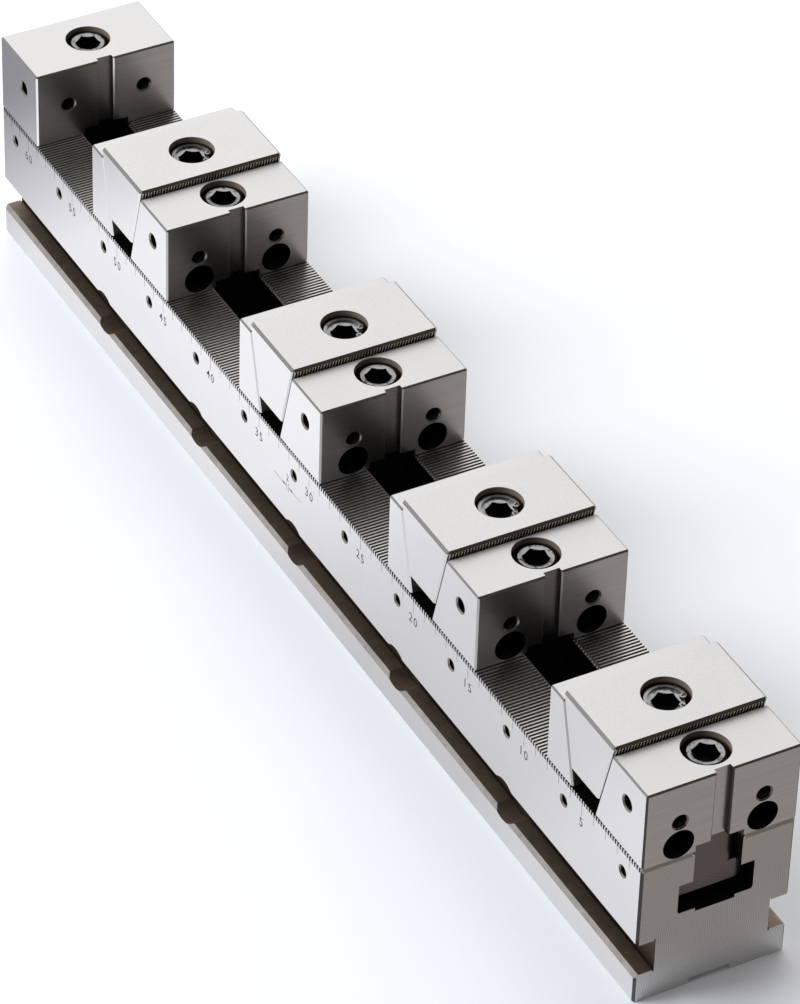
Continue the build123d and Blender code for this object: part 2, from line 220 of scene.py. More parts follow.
class Field:
    """A value that changes over a surface. Sums, products and comparisons add math nodes to its tree."""

    def __init__(self, tree, socket):
        self.tree = tree
        self.socket = socket

    def math(self, operation, *others, clamp=False):
        return calculate(self.tree, operation, self, *others, clamp=clamp)

    def __add__(self, other):
        return self.math("ADD", other)

    def __radd__(self, other):
        return calculate(self.tree, "ADD", other, self)

    def __sub__(self, other):
        return self.math("SUBTRACT", other)

    def __rsub__(self, other):
        return calculate(self.tree, "SUBTRACT", other, self)

    def __mul__(self, other):
        return self.math("MULTIPLY", other)

    def __truediv__(self, other):
        return self.math("DIVIDE", other)

    def __abs__(self):
        return self.math("ABSOLUTE")

    def __lt__(self, other):
        return self.math("LESS_THAN", other)

    def __gt__(self, other):
        return self.math("GREATER_THAN", other)

    def ramp(self, low, high, start=0.0, end=1.0, kind="LINEAR"):
        """Goes from start to end as the value goes from low to high."""
        limits = {"Value": self, "From Min": low, "From Max": high, "To Min": start, "To Max": end}
        return node_field(self.tree, "ShaderNodeMapRange", {"interpolation_type": kind}, limits)

    def between(self, low, high, soft):
        """1 where the value lies from low to high, with edges as wide as soft."""
        rise = self.ramp(low - soft, low + soft, kind="SMOOTHSTEP")
        fall = self.ramp(high - soft, high + soft, kind="SMOOTHSTEP")
        return rise.math("SUBTRACT", fall, clamp=True)

    def split(self):
        """The three parts of a vector."""
        return fields(add_node(self.tree, "ShaderNodeSeparateXYZ", None, {0: self}))


def add_node(tree, kind, settings=None, inputs=None):
    """New shader node with settings, and with each input given a value or a field."""
    made = tree.nodes.new(kind)
    for name, value in (settings or {}).items():
        setattr(made, name, value)
    for name, value in (inputs or {}).items():
        if isinstance(value, Field):
            tree.links.new(value.socket, made.inputs[name])
        else:
            made.inputs[name].default_value = value
    return made


def fields(node):
    """All outputs of a node."""
    return [Field(node.id_data, socket) for socket in node.outputs]


def node_field(tree, kind, settings=None, inputs=None, output=0):
    """One output of a new shader node."""
    return Field(tree, add_node(tree, kind, settings, inputs).outputs[output])


def calculate(tree, operation, *values, clamp=False):
    """Output of a math node."""
    settings = {"operation": operation, "use_clamp": clamp}
    return node_field(tree, "ShaderNodeMath", settings, dict(enumerate(values)))


def surface(tree):
    """Place and normal of each point of a surface, in the object's own frame."""
    made = tree.nodes.new("ShaderNodeTexCoord")
    return Field(tree, made.outputs["Object"]), Field(tree, made.outputs["Normal"])


def noise(place, scale, detail, roughness=0.5):
    inputs = {"Vector": place, "Scale": scale, "Detail": detail, "Roughness": roughness}
    return node_field(place.tree, "ShaderNodeTexNoise", None, inputs)


def nearest(value, places):
    """Distance of a value from the nearest of some places."""
    closest, *others = [abs(value - place) for place in places]
    for away in others:
        closest = closest.math("MINIMUM", away)
    return closest


def within(first, second, low, high):
    """1 where two distances from an axis make a radius from low to high."""
    squares = first * first + second * second
    inside = squares < high * high
    return inside * (squares > low * low) if low else inside


def shade(colour, share):
    """A plain colour made darker or lighter."""
    return tuple(share * part for part in tuple(colour)[:3])


def scaled(colour, share):
    """A colour times a field."""
    inputs = {0: colour if isinstance(colour, Field) else tuple(colour)[:3], "Scale": share}
    return node_field(share.tree, "ShaderNodeVectorMath", {"operation": "SCALE"}, inputs)


def mix_colours(share, first, second):
    """Goes from the first colour to the second as share goes from 0 to 1."""
    inputs = {0: share}
    for index, colour in ((6, first), (7, second)):
        inputs[index] = colour if isinstance(colour, Field) else (*tuple(colour)[:3], 1.0)
    return node_field(share.tree, "ShaderNodeMix", {"data_type": "RGBA"}, inputs, 2)


def mix_values(share, first, second):
    """Goes from the first value to the second as share goes from 0 to 1."""
    return node_field(share.tree, "ShaderNodeMix", {"data_type": "FLOAT"}, {0: share, 2: first, 3: second})


# Effects that the finishes share


def open_group(name, **inputs):
    """New shader node group, with a field for each of its inputs."""
    group = bpy.data.node_groups.new(name, "ShaderNodeTree")
    for label, default in inputs.items():
        socket = group.interface.new_socket(name=label, in_out="INPUT", socket_type="NodeSocketFloat")
        socket.default_value = default
    given = group.nodes.new("NodeGroupInput")
    return group, [Field(group, given.outputs[label]) for label in inputs]


def close_group(group, **outputs):
    """Gives a shader node group its outputs."""
    for label in outputs:
        group.interface.new_socket(name=label, in_out="OUTPUT", socket_type="NodeSocketFloat")
    add_node(group, "NodeGroupOutput", None, outputs)
    return group


def grinding_lines(name):
    """Fine grinding lines along X, or along Y on faces that look along X, with a fine speckle."""
    group, (fineness, length, grains) = open_group(name, Lines=900.0, Length=0.03, Speckle=1500.0)
    place, normal = surface(group)
    lines = []
    for scale in ({"X": length, "Y": 1.0, "Z": 1.0}, {"X": 1.0, "Y": length, "Z": 1.0}):
        stretch = node_field(group, "ShaderNodeCombineXYZ", None, scale)
        drawn = node_field(group, "ShaderNodeVectorMath", {"operation": "MULTIPLY"}, {0: place, 1: stretch})
        lines.append(noise(drawn, fineness, 3.0, 0.65))
    fronts = abs(normal.split()[0]) > 0.7
    return close_group(group, Lines=mix_values(fronts, *lines), Speckle=noise(place, grains, 2.0),
                       Clouds=noise(place, 22.0, 3.0, 0.6))


def milling_arcs(name):
    """Arcs that a face mill leaves on faces that look along X, crossed by a second set."""
    group, (spacing, sweep, height) = open_group(name, Spacing=1.1 * MM, Sweep=62 * MM, Height=30 * MM)
    place, _ = surface(group)
    _, y, z = place.split()
    wobble = noise(place, 45.0, 1.0)
    waves = []
    for side in (-1.0, 1.0):
        across = y - sweep * side
        up = z - height
        reach = (across.math("POWER", 2.0) + up.math("POWER", 2.0)).math("SQRT")
        turns = reach / spacing + wobble * 1.6
        patches = noise(place, 170.0 + 30.0 * side, 2.0)
        waves.append((turns * (2 * math.pi)).math("SINE") * patches.ramp(0.35, 0.65, end=0.34))
    return close_group(group, Arcs=(waves[0] + waves[1]).math("ADD", 0.5, clamp=True))


def raw_steel(name):
    """Blotches and pits of a raw or roughly cut wall."""
    group, (scale,) = open_group(name, Scale=180.0)
    place, _ = surface(group)
    cells = {"Vector": place, "Scale": scale * 7.0}
    pits = node_field(group, "ShaderNodeTexVoronoi", None, cells, "Distance")
    return close_group(group, Blotches=noise(place, scale, 5.0, 0.7), Pits=pits)


EFFECTS = {"grinding lines": grinding_lines, "milling arcs": milling_arcs, "raw steel blotches": raw_steel}


def effect(tree, name, inputs=None):
    """Outputs of a shared node group, which is built the first time that it is used."""
    group = bpy.data.node_groups.get(name) or EFFECTS[name](name)
    return fields(add_node(tree, "ShaderNodeGroup", {"node_tree": group}, inputs))


# Finishes


class Finish:
    """A steel finish that is built up in layers over its ground colour, and then joined to its shader."""

    def __init__(self, name, colour, roughness, lines=0.1, bump=0.01, clouds=0.03):
        self.material = bpy.data.materials.new(name)
        self.material.use_nodes = True
        self.tree = self.material.node_tree
        self.tree.nodes.clear()
        place, normal = surface(self.tree)
        self.x, self.y, self.z = place.split()
        self.facing = normal.split()
        self.lines, self.speckle, self.clouds = effect(self.tree, "grinding lines")
        self.grain = mix_values(self.looks_along(2), self.lines, self.speckle)
        cloud = self.clouds - 0.5
        self.colour = scaled(colour, 1.0 + ((self.grain - 0.5) * (2 * lines) + cloud * (2 * clouds)))
        self.roughness = roughness + cloud * 0.06
        self.height = self.grain * (bump * MM)
        self.metallic = 1.0

    def cover(self, mask, colour, roughness, height=None):
        """Lays another colour and roughness over the finish where mask is 1."""
        self.colour = mix_colours(mask, self.colour, colour)
        self.roughness = mix_values(mask, self.roughness, roughness)
        if height is not None:
            self.height = mix_values(mask, self.height, height)

    def looks_along(self, axis):
        """1 on faces whose normal lies along the axis, either way."""
        return abs(self.facing[axis]) > 0.9

    def chamfers(self, colours):
        """Duller broken edges along the top, olive where they face forward, and down the front's sides; the
        upright ones are painted darker at the rail's near end as painted shade, and bright on the end jaw
        as a painted highlight.
        """
        forward, sideways, upward = self.facing
        upper = upward.between(*CHAMFER_LEAN, 0.01)
        self.cover(upper, colours.edge, 0.42, 0.0)
        self.cover(upper * (forward > 0.4), colours.olive, 0.5)
        corner = forward.between(*CHAMFER_LEAN, 0.01) * abs(sideways).between(*CHAMFER_LEAN, 0.01)
        upright = corner * (abs(upward) < 0.1)
        self.cover(upright, shade(colours.edge, 1.6), 0.42, 0.0)
        near_end_shade = self.x > RAIL_HIGH.x - 1.3 * MM
        # Upright chamfers at the rail's near end painted darker: painted shade
        self.cover(upright * near_end_shade, shade(colours.edge, 0.40), 0.5)
        end_jaw = (self.x < END_JAW_HIGH.x + 1 * MM) * (self.z > RAIL_HIGH.z)
        # Upright chamfers of the end jaw painted bright: painted highlight
        self.cover(upright * end_jaw, colours.ground, 0.3)

    def matt_top(self):
        """Fine-ground, faintly speckled tops, which scatter more light than the sides."""
        top = self.facing[2] > 0.95
        self.dull(top, 0.85)
        self.colour = scaled(self.colour, mix_values(top, 1.0, 0.79 + (self.speckle - 0.5) * 0.2))

    def dull(self, mask, share):
        """Takes a share of the metallic sheen away where mask is 1."""
        self.metallic = self.metallic - mask * share

    def hole(self, first, second, radius):
        """Tapped hole with a beige mouth, painted dark inside as painted shade, from the distances to its
        axis along two directions.
        """
        self.cover(within(first, second, radius, radius + HOLE_MOUTH + 0.05 * MM), HOLE_RIM, 0.35, 0.0)
        # Inside of the hole painted near black: painted shade
        self.cover(within(first, second, 0, radius + 0.02 * MM), HOLE_SHADE, 0.5, 0.0)

    def raw(self, mask, colour, roughness):
        """Raw or roughly cut wall with blotches and pits, where mask is 1."""
        blotches, pits = effect(self.tree, "raw steel blotches")
        mixed = mix_colours(blotches, shade(colour, 0.55), shade(colour, 1.35))
        self.cover(mask, mixed, roughness, pits * (0.05 * MM))

    def mottle(self, colour, scale, low, high):
        """Black oxide left in blotches over a bright finish."""
        blotches, _ = effect(self.tree, "raw steel blotches", {"Scale": scale})
        self.cover(blotches.ramp(low, high), colour, 0.4)

    def join(self):
        """The material with its layers joined to the shader."""
        heights = {"Strength": 1.0, "Distance": 1.0, "Height": self.height}
        steel = {
            "Base Color": self.colour, "Metallic": self.metallic, "Roughness": self.roughness,
            "Normal": node_field(self.tree, "ShaderNodeBump", None, heights),
        }
        shader = node_field(self.tree, "ShaderNodeBsdfPrincipled", None, steel)
        add_node(self.tree, "ShaderNodeOutputMaterial", None, {0: shader})
        return self.material


def milled_ends(finish, colours, ends):
    """Crossed milling arcs on the rail's two ends."""
    arcs, = effect(finish.tree, "milling arcs")
    milled = mix_colours(arcs, shade(colours.milled, 0.66), shade(colours.milled, 1.06))
    finish.cover(ends, milled, 0.36, arcs * (0.008 * MM))


def raw_notches(finish, colours, beside_ends):
    """Raw side notches, with the shelf painted paler as painted light, the ceiling painted dark as painted
    shade, and a bright edge along the flange.
    """
    notch_wall, notch_low, notch_high = 27.5 * MM, 12.4 * MM, 35.4 * MM
    ceiling_low, ceiling_high = 32.2 * MM, 33.3 * MM
    flange_low, flange_high, flange_chamfer = 13.5 * MM, 15.45 * MM, 1.84 * MM
    face = RAIL_HIGH.y - SKIN
    across = abs(finish.y)
    outside = across.between(notch_wall, face, 0.01 * MM)
    notch = outside * finish.z.between(notch_low, notch_high, 0.02 * MM) * beside_ends
    finish.raw(notch, colours.brown, 0.55)
    # Up-facing shelf painted paler: painted light from above
    finish.raw(notch * (finish.facing[2] > 0.5), shade(colours.brown, 3.2), 0.6)
    ceiling = outside * finish.z.between(ceiling_low, ceiling_high, 0.02 * MM) * beside_ends
    # Ceiling painted dark: painted shade under the overhang
    finish.cover(ceiling, shade(colours.brown, 0.4), 0.5, 0.0)
    flange = finish.z.between(flange_low, flange_high, 0.02 * MM)
    flange = flange * across.between(RAIL_HIGH.y - flange_chamfer, face, 0.01 * MM)
    leaning = abs(finish.facing[1]).between(0.5, 0.9, 0.01)
    finish.raw(flange * leaning * beside_ends, FLANGE_EDGE, 0.5)


def toothed_lands(finish, colours, beside_ends):
    """Dark slot between two ground lands, with tooth gaps painted dark as painted shade, which shows as a
    painted comb on the sides; the lands under the wedges are painted dark as painted shade too.
    """
    slot_side, slot_floor, neck_chamfer = 18.8 * MM, 40.0 * MM, 1.4 * MM
    land_side, tooth_foot = 13.0 * MM, 1.7 * MM
    across = abs(finish.y)
    top = RAIL_HIGH.z
    slot = (across < slot_side) * finish.z.between(slot_floor, top - neck_chamfer, 0.02 * MM) * beside_ends
    finish.cover(slot, shade(colours.brown, 0.35), 0.5, 0.0)
    lands = across.between(land_side, RAIL_HIGH.y - 0.05 * MM, 0.01 * MM) * (finish.z > top - tooth_foot)
    finish.cover(lands, colours.ground, 0.34, 0.0)
    gaps = lands * (finish.z < top - 0.05 * MM)
    # Tooth gaps painted dark: painted shade in the gaps
    finish.cover(gaps, TOOTH_GAP, 0.45)

    under_wedges = 15 * MM
    from_wedge = nearest(finish.x, wedge_screw_places())
    # Lands under the wedges painted dark: painted shade
    finish.cover(lands * (from_wedge < under_wedges), UNDER_WEDGE_SHADE, 0.5)
    last_gap = gaps * (abs(finish.x) > RAIL_HIGH.x - 0.9 * MM)
    finish.cover(last_gap, LAST_TOOTH_GAP, 0.5)

    comb_half_width, comb_depth = 0.58 * MM, 2.1 * MM
    from_gap = (finish.x - RAIL_HIGH.x).math("PINGPONG", TOOTH_PITCH / 2)
    comb = finish.looks_along(1) * (from_gap < comb_half_width) * (finish.z > top - comb_depth)
    # Comb of painted shade on the sides, drawn deeper than the cut gaps
    finish.cover(comb * beside_ends, COMB_SHADE, 0.5, 0.0)


def rail_finish(colours):
    """Ground rail with raw side notches and slot, milled ends and smooth toothed lands."""
    finish = Finish("rail_finish", colours.ground, 0.27, lines=0.02, bump=0.001, clouds=0.02)
    finish.chamfers(colours)
    ends = abs(finish.x) > RAIL_HIGH.x - SKIN
    beside_ends = 1.0 - ends
    milled_ends(finish, colours, ends)
    raw_notches(finish, colours, beside_ends)
    toothed_lands(finish, colours, beside_ends)
    side_reach = 20 * MM
    pitch = RAIL_HOLES["dims"]["spacing_x_mm"] * MM
    first_hole = RAIL_HOLES["pos_m"][0] + pitch / 2
    off_x = (finish.x - first_hole).math("PINGPONG", pitch / 2)
    off_z = finish.z - RAIL_HOLES["pos_m"][2]
    finish.hole(off_x + off_scale_side(finish, side_reach), off_z, RAIL_HOLES["dims"]["hole_r_mm"] * MM)
    return finish.join()


def off_scale_side(finish, reach):
    """A metre that is added to a hole's distance, except on the scale side beyond reach."""
    return 1.0 - (finish.y < -reach)


def ground_finish(name, colours, roughness):
    """Start of a ground finish with matt tops."""
    finish = Finish(name, colours.ground, roughness, lines=0.04, bump=0.0015)
    finish.matt_top()
    return finish


def drill(finish):
    """Tapped holes, painted dark inside as painted shade, in the clamping faces and sides of blocks and
    jaws, not in the end jaw's back.
    """
    near_back, side_reach = 5 * MM, 23 * MM
    spacing = FACE_HOLES["dims"]["spacing_x_mm"] * MM
    end_back = finish.x < END_JAW_LOW.x + near_back
    off_y = abs(finish.y) - spacing / 2 + end_back
    finish.hole(off_y, finish.z - FACE_HOLES["pos_m"][2], FACE_HOLES["dims"]["hole_r_mm"] * MM)
    off_x = nearest(finish.x, [mount["pos_m"][0] for mount in SIDE_HOLES])
    off_x = off_x + off_scale_side(finish, side_reach)
    finish.hole(off_x, finish.z - SIDE_HOLES[0]["pos_m"][2], SIDE_HOLES[0]["dims"]["r_mm"] * MM)


def pull_bores(finish):
    """Bores of the pull bolts, painted dark as painted shade, low in the clamp blocks and not in the end
    jaw.
    """
    low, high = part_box(f"pull_bolts_{FIRST}")
    head_radius = (high.z - low.z) / 2
    off_y = abs(finish.y) - (high.y - head_radius)
    bore = within(off_y, finish.z - (low.z + high.z) / 2, 0, PULL_BORE_RADIUS)
    # Bore painted near black: painted shade
    finish.cover(bore * (finish.x > END_JAW_HIGH.x + 1 * MM), HOLE_SHADE, 0.5, 0.0)


def counterbore(finish, colours, places, top):
    """Brown walls of the counterbores whose axes stand at some places along the rail, painted darker lower
    down as painted shade.
    """
    lit_depth, soft = 2.9 * MM, 0.7 * MM
    walls = within(nearest(finish.x, places), finish.y, 0, COUNTERBORE_RADIUS)
    finish.raw(walls, colours.bore, 0.5)
    upward = finish.facing[2] > 0.95
    finish.dull(walls.math("SUBTRACT", upward, clamp=True), 0.85)
    # Walls below the lit depth painted dark: painted shade
    finish.cover(walls * finish.z.between(0, top - lit_depth, soft), BORE_SHADE, 0.5)


def block_finish(colours):
    """Ground blocks with finely lined fronts and a dark groove down the middle of each."""
    finish = ground_finish("block_finish", colours, 0.30)
    lined = mix_colours(finish.lines, shade(colours.ground, 0.66), shade(colours.ground, 0.95))
    finish.cover(finish.looks_along(0), lined, 0.3)
    finish.chamfers(colours)
    groove_side = 4.2 * MM
    groove = finish.looks_along(1) * (abs(finish.y) < groove_side)
    finish.cover(groove, shade(colours.brown, 0.8), 0.5, 0.0)
    drill(finish)
    pull_bores(finish)
    counterbore(finish, colours, block_screw_places(), END_JAW_HIGH.z)
    return finish.join()


def jaw_finish(colours):
    """Ground jaws with duller backs, painted darker as painted shade that the facing fronts reflect."""
    finish = ground_finish("jaw_finish", colours, 0.30)
    # Backs painted darker: painted shade seen in the reflections of the facing fronts
    finish.cover(finish.facing[0] < -0.95, shade(colours.ground, 0.55), 0.35)
    finish.chamfers(colours)
    drill(finish)
    return finish.join()


def wedge_finish(colours):
    """Ground wedges with brown bores, and light ribs between grooves that are painted dark as painted shade
    on the front.
    """
    finish = ground_finish("wedge_finish", colours, 0.32)
    finish.chamfers(colours)
    counterbore(finish, colours, wedge_screw_places(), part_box(f"wedge_{FIRST}")[1].z)
    front = (finish.facing[0] > 0.9) * (finish.facing[2] < -0.1)
    # Front painted near black: painted shade in the grooves
    finish.cover(front, RIB_GROOVE_SHADE, 0.5, 0.0)
    sizes = bpy.context.scene.vise_wedges
    from_rib = finish.y.math("PINGPONG", sizes.rib_pitch / 2)
    rib = front * (from_rib < (sizes.rib_pitch - sizes.groove_width) / 2)
    finish.cover(rib, RIB, 0.45)
    finish.dull(front, 0.85)
    return finish.join()


def screw_top_finish(colours):
    """Bright mottled top of a screw's head."""
    finish = Finish("screw_top_finish", colours.bright, 0.34, bump=0.004)
    finish.mottle(colours.black, 420.0, 0.50, 0.64)
    return finish.join()


def nut_finish(colours):
    """Dark tee nuts with milled ends."""
    finish = Finish("nut_finish", shade(colours.milled, 0.35), 0.4, lines=0.08)
    arcs, = effect(finish.tree, "milling arcs", {"Sweep": 20 * MM, "Height": 90 * MM, "Spacing": 1.7 * MM})
    finish.cover(finish.looks_along(0), mix_colours(arcs, *NUT_MARKS), 0.36, arcs * (0.006 * MM))
    return finish.join()


def ring_finish(colours):
    """Retaining rings with black left in blotches."""
    finish = Finish("ring_finish", colours.bright, 0.28, bump=0.004)
    finish.mottle(colours.black, 300.0, 0.56, 0.68)
    return finish.join()


def ink_finish(_):
    """Dark filling of the engraved marks."""
    finish = Finish("ink_finish", bpy.context.scene.vise_scale.ink, 0.6, bump=0.0)
    finish.metallic = 0.0
    return finish.join()


LAYERED_FINISHES = {maker.__name__: maker for maker in (
    rail_finish, block_finish, jaw_finish, wedge_finish, screw_top_finish, nut_finish, ring_finish,
    ink_finish,
)}

# Steel with nothing laid over it: which colour, how bright a shade of it, roughness and bump
PLAIN_FINISHES = {
    "screw_finish": ("black", 1, 0.35, 0.01),
    "socket_rim_finish": ("bright", 1, 0.18, 0.004),
    "bolt_finish": ("black", 4, 0.4, 0.01),
    "spring_finish": ("milled", 1, 0.4, 0.01),
    # Thread turns coloured very dark: painted shade inside the tapped holes
    "thread_finish": ("bore", 0.14, 0.35, 0.002),
}


def steel(name):
    """The named finish, made the first time that it is asked for."""
    if name in bpy.data.materials:
        return bpy.data.materials[name]
    colours = bpy.context.scene.vise_colours
    if name in LAYERED_FINISHES:
        return LAYERED_FINISHES[name](colours)
    colour, share, roughness, bump = PLAIN_FINISHES[name]
    return Finish(name, shade(getattr(colours, colour), share), roughness, bump=bump).join()


# Mesh helpers


def new_mesh(name, bm):
    """New mesh from a bmesh, which is freed."""
    mesh = bpy.data.meshes.new(name)
    bm.to_mesh(mesh)
    bm.free()
    return mesh


def new_object(name, data):
    made = bpy.data.objects.new(name, data)
    bpy.context.scene.collection.objects.link(made)
    return made


def add_piece(name, bm, body, slot, *finishes, crease=math.radians(35)):
    """New object from a bmesh, riding on a body, smooth where its faces meet at less than crease."""
    mesh = new_mesh(name, bm)
    if crease:
        mesh.shade_smooth()
        mesh.set_sharp_from_angle(angle=crease)
    else:
        mesh.shade_flat()
    piece = new_object(name, mesh)
    for finish in finishes:
        mesh.materials.append(steel(finish))
    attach(piece, body)
    return piece


def move(bm, way):
    bmesh.ops.translate(bm, verts=bm.verts, vec=way)


def put(bm, matrix):
    bmesh.ops.transform(bm, matrix=matrix, verts=bm.verts)


def spin(bm, geom, angle, steps, rise=0.0, merge=False):
    """Spins geometry about Z, a rise further up at each step."""
    bmesh.ops.spin(bm, geom=geom, cent=(0, 0, 0), axis=(0, 0, 1), dvec=(0, 0, rise), angle=angle,
                   steps=steps, use_merge=merge, use_duplicate=False)


def turned(points, steps=48):
    """Solid turned about Z from an outline of radius and height, as a bmesh."""
    bm = bmesh.new()
    corners = [bm.verts.new((radius, 0, height)) for radius, height in points]
    edges = [bm.edges.new(pair) for pair in zip(corners, corners[1:])]
    if points[0][0] > 0 and points[-1][0] > 0:
        edges.append(bm.edges.new((corners[-1], corners[0])))
    spin(bm, corners + edges, 2 * math.pi, steps, merge=True)
    bmesh.ops.remove_doubles(bm, verts=bm.verts, dist=1e-6)
    bmesh.ops.recalc_face_normals(bm, faces=bm.faces)
    return bm


def swept(points, angle, steps, start=0.0, rise=0.0):
    """Closed outline of radius and height, swept about Z from a start angle, as a bmesh."""
    bm = bmesh.new()
    corners = [bm.verts.new((radius, 0, height)) for radius, height in points]
    face = bm.faces.new(corners)
    bmesh.ops.rotate(bm, verts=corners, cent=(0, 0, 0), matrix=Matrix.Rotation(start, 3, "Z"))
    spin(bm, [face, *face.edges, *corners], angle, steps, rise)
    bmesh.ops.recalc_face_normals(bm, faces=bm.faces)
    return bm


def box_bm(low, high):
    """Box between two corners, as a bmesh."""
    bm = bmesh.new()
    size = Vector(high) - Vector(low)
    middle = (Vector(high) + Vector(low)) / 2
    bmesh.ops.create_cube(bm, size=1.0, matrix=Matrix.Translation(middle) @ Matrix.Diagonal((*size, 1)))
    return bm


def add_bm(target, source):
    """Puts a copy of source's geometry into target, and frees source."""
    mesh = new_mesh("joining", source)
    target.from_mesh(mesh)
    bpy.data.meshes.remove(mesh)


def cut(solid, cutter):
    """solid less cutter, as a new bmesh. Both are freed."""
    body, tool = (new_object("cutting", new_mesh("cutting", bm)) for bm in (solid, cutter))
    modifier = body.modifiers.new("cut", "BOOLEAN")
    modifier.operation = "DIFFERENCE"
    modifier.solver = "EXACT"
    modifier.object = tool
    bpy.context.view_layer.update()
    evaluated = body.evaluated_get(bpy.context.evaluated_depsgraph_get())
    result = bmesh.new()
    result.from_mesh(evaluated.to_mesh())
    evaluated.to_mesh_clear()
    for made in (body, tool):
        mesh = made.data
        bpy.data.objects.remove(made)
        bpy.data.meshes.remove(mesh)
    if len(result.faces) == 0:
        raise RuntimeError("a cut left nothing of its solid")
    return result


def merged_copy(node):
    """A CAD node's mesh with its loose triangles merged into flat faces, as a bmesh."""
    bm = bmesh.new()
    bm.from_mesh(frame["nodes"][node].data)
    bmesh.ops.remove_doubles(bm, verts=bm.verts, dist=1e-6)
    bmesh.ops.dissolve_limit(bm, angle_limit=math.radians(0.5), verts=bm.verts, edges=bm.edges)
    return bm


def middle_of(node):
    low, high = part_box(node)
    return (low + high) / 2


def wedge_screw_places():
    """Places along the rail of the screws through the wedges."""
    return [middle_of(f"wedge_screw_{number}").x for number in UNITS]


def block_screw_places():
    """Places along the rail of the screws through the clamp blocks and the end jaw."""
    low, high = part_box("block_screws")
    radius = (high.y - low.y) / 2
    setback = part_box(f"clamp_block_{FIRST}")[1].x - (high.x - radius)
    return [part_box(f"clamp_block_{number}")[1].x - setback for number in UNITS] + [low.x + radius]


def place_along(origin, direction):
    """Matrix that puts Z along direction at origin."""
    turn = Vector(direction).to_track_quat("Z", "Y").to_matrix().to_4x4()
    return Matrix.Translation(Vector(origin)) @ turn


# Operators


class VISE_OT_finishes(bpy.types.Operator):
    """Give each CAD node its steel"""

    bl_idname = "vise.finishes"
    bl_label = "Steel finishes"

    def execute(self, context):
        slots = {part["node"]: part["material_slot"] for part in frame["record"]["subparts"]}
        for name, node in frame["nodes"].items():
            node.data.materials.clear()
            node.data.materials.append(steel(slots[name].replace("_steel", "_finish")))
        return {"FINISHED"}


class VISE_OT_scale(bpy.types.Operator):
    """Add the ticks and numbers of the centimetre scale and the pitch symbol"""

    bl_idname = "vise.scale"
    bl_label = "Scale"

    proud = 0.02 * MM
    sunk = 0.05 * MM
    ticks_per_number = 5
    digit_share = 0.7
    stroke_share = 0.003
    number_gap = 1.25
    symbol_gap = 1.0 * MM
    bar_reach = 2.6 * MM
    arrow_steps = 6
    arrow_step = 0.6 * MM
    arrow_spread = 0.09 * MM
    pitch_digit_rise = 3.4 * MM
    pitch_digit_height = 3.6 * MM

    def line(self, bm, low_x, high_x, low_z, high_z):
        face = RAIL_LOW.y
        add_bm(bm, box_bm((low_x, face - self.proud, low_z), (high_x, face + self.sunk, high_z)))

    def words(self, bm, text, centre_x, base_z, height, gap):
        """Puts thin digits on the rail's side, which read along +X."""
        curve = bpy.data.curves.new("digits", "FONT")
        curve.body = text
        curve.size = height / self.digit_share
        curve.align_x = "CENTER"
        curve.space_character = gap
        curve.offset = self.stroke_share * curve.size
        curve.extrude = (self.proud + self.sunk) / 2
        curve.resolution_u = 3
        holder = new_object("digits", curve)
        bpy.context.view_layer.update()
        evaluated = holder.evaluated_get(bpy.context.evaluated_depsgraph_get())
        mesh = bpy.data.meshes.new_from_object(evaluated)
        depth = RAIL_LOW.y + (self.sunk - self.proud) / 2
        mesh.transform(Matrix.Translation((centre_x, depth, base_z)) @ Matrix.Rotation(math.pi / 2, 4, "X"))
        bm.from_mesh(mesh)
        bpy.data.objects.remove(holder)
        bpy.data.curves.remove(curve)
        bpy.data.meshes.remove(mesh)

    def scale(self, sizes):
        """Ticks a spacing apart from the rail's near end, with a number at every fifth."""
        ticks = bmesh.new()
        numbers = bmesh.new()
        top = RAIL_HIGH.z - sizes.tick_top
        half = sizes.line_width / 2
        count = int((RAIL_HIGH.x - RAIL_LOW.x) / sizes.tick_spacing) - 1
        for index in range(1, count + 1):
            x = RAIL_HIGH.x - index * sizes.tick_spacing
            is_long = index % self.ticks_per_number == 0
            length = sizes.long_tick if is_long else sizes.short_tick
            self.line(ticks, x - half, x + half, top - length, top)
            if is_long:
                base = top - length - sizes.digit_drop - sizes.digit_height
                self.words(numbers, str(index), x, base, sizes.digit_height, self.number_gap)
        add_piece("scale_ticks", ticks, "base", "rail_steel", "ink_finish")
        add_piece("scale_numbers", numbers, "base", "rail_steel", "ink_finish")

    def symbol(self, sizes):
        """Two arrows that point at two bars from outside, under the tooth pitch in millimetres."""
        symbol = bmesh.new()
        half = sizes.line_width / 2
        middle = RAIL_HIGH.x - sizes.symbol_place
        z = RAIL_HIGH.z - sizes.symbol_drop
        reach = sizes.symbol_length / 2
        self.line(symbol, middle - reach, middle - self.symbol_gap, z - half, z + half)
        self.line(symbol, middle + self.symbol_gap, middle + reach, z - half, z + half)
        for side in (-1, 1):
            x = middle + side * self.symbol_gap
            self.line(symbol, x - half, x + half, z - self.bar_reach, z + self.bar_reach)
            for part in range(self.arrow_steps):
                near = x + side * part * self.arrow_step
                spread = half + part * self.arrow_spread
                ends = sorted((near, near + side * self.arrow_step))
                self.line(symbol, *ends, z - spread, z + spread)
        pitch = str(round(TOOTH_PITCH / MM))
        self.words(symbol, pitch, middle, z + self.pitch_digit_rise, self.pitch_digit_height, 1.0)
        add_piece("pitch_symbol", symbol, "base", "rail_steel", "ink_finish")

    def execute(self, context):
        self.scale(context.scene.vise_scale)
        self.symbol(context.scene.vise_scale)
        return {"FINISHED"}


